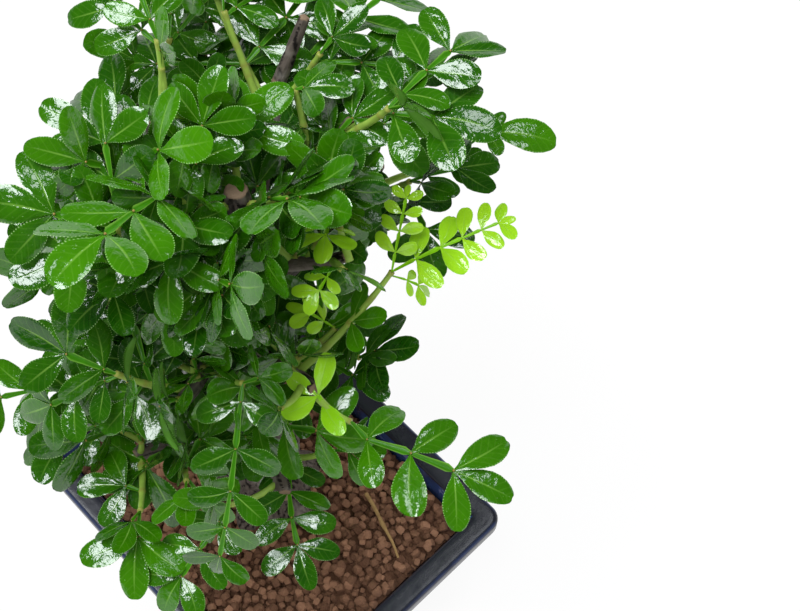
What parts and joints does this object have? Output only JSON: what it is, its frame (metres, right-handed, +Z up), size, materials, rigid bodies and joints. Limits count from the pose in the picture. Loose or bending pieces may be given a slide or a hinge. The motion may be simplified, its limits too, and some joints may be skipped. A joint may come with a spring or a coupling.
{
  "type": "pepper tree bonsai in a planter",
  "caption": "Potted dwarf pepper tree with a pruned woody trunk, feathered glossy leaves, clay granules and a glazed rectangular pot on feet.",
  "frame": {"origin": "on the table, under the middle of the whole tree and its pot", "axes": "+Z up; the pot's long side runs along X and its short side along Y"},
  "size_m": [0.179, 0.1943, 0.2847],
  "materials": {
    "glazed_pot": "glossy dark blue-black glaze, cobalt where it thins on the edges",
    "clay_granules": "matt reddish-brown baked clay granules",
    "plastic_screen": "black plastic mesh",
    "dry_stalk": "dry straw-coloured stalk",
    "bark": "rough grey-brown bark with tan cut ends",
    "leaf": "waxy, very glossy dark green leaf with a paler midrib",
    "young_leaf": "satin lime-green young leaf"
  },
  "bodies": {
    "root": {"branch_low_back": "bark", "branch_low_front_left": "bark", "branch_low_front_right": "bark", "branch_low_left": "bark", "branch_low_right": "bark", "branch_mid_back_left": "bark", "branch_mid_back_right": "bark", "branch_mid_front": "bark", "branch_mid_left": "bark", "branch_mid_right": "bark", "branch_top_back": "bark", "branch_top_back_right": "bark", "branch_top_front": "bark", "branch_top_left": "bark", "branch_top_right": "bark", "drain_screen_left": "plastic_screen", "drain_screen_right": "plastic_screen", "dry_leaf_stalk": "dry_stalk", "granule_bed": "clay_granules", "long_shoot_back_right": "leaf", "long_shoot_low_front": "leaf", "long_shoot_low_right": "leaf", "pot": "glazed_pot", "shoot_low_back_a": "leaf", "shoot_low_back_b": "leaf", "shoot_low_front_left_a": "leaf", "shoot_low_front_left_b": "leaf", "shoot_low_front_right_a": "leaf", "shoot_low_front_right_b": "leaf", "shoot_low_left_a": "leaf", "shoot_low_left_b": "leaf", "shoot_low_right_a": "leaf", "shoot_low_right_b": "leaf", "shoot_mid_back_left_a": "leaf", "shoot_mid_back_left_b": "leaf", "shoot_mid_back_right_a": "leaf", "shoot_mid_back_right_b": "leaf", "shoot_mid_front_a": "leaf", "shoot_mid_front_b": "leaf", "shoot_mid_left_a": "leaf", "shoot_mid_left_b": "leaf", "shoot_mid_right_a": "leaf", "shoot_mid_right_b": "leaf", "shoot_top_a": "leaf", "shoot_top_b": "leaf", "shoot_top_back_a": "leaf", "shoot_top_back_b": "leaf", "shoot_top_back_right_a": "leaf", "shoot_top_back_right_b": "leaf", "shoot_top_c": "leaf", "shoot_top_front_a": "leaf", "shoot_top_front_b": "leaf", "shoot_top_left_a": "leaf", "shoot_top_left_b": "leaf", "shoot_top_right_a": "leaf", "shoot_top_right_b": "leaf", "trunk": "bark", "young_shoot_right": "young_leaf"}
  },
  "joints": []
}
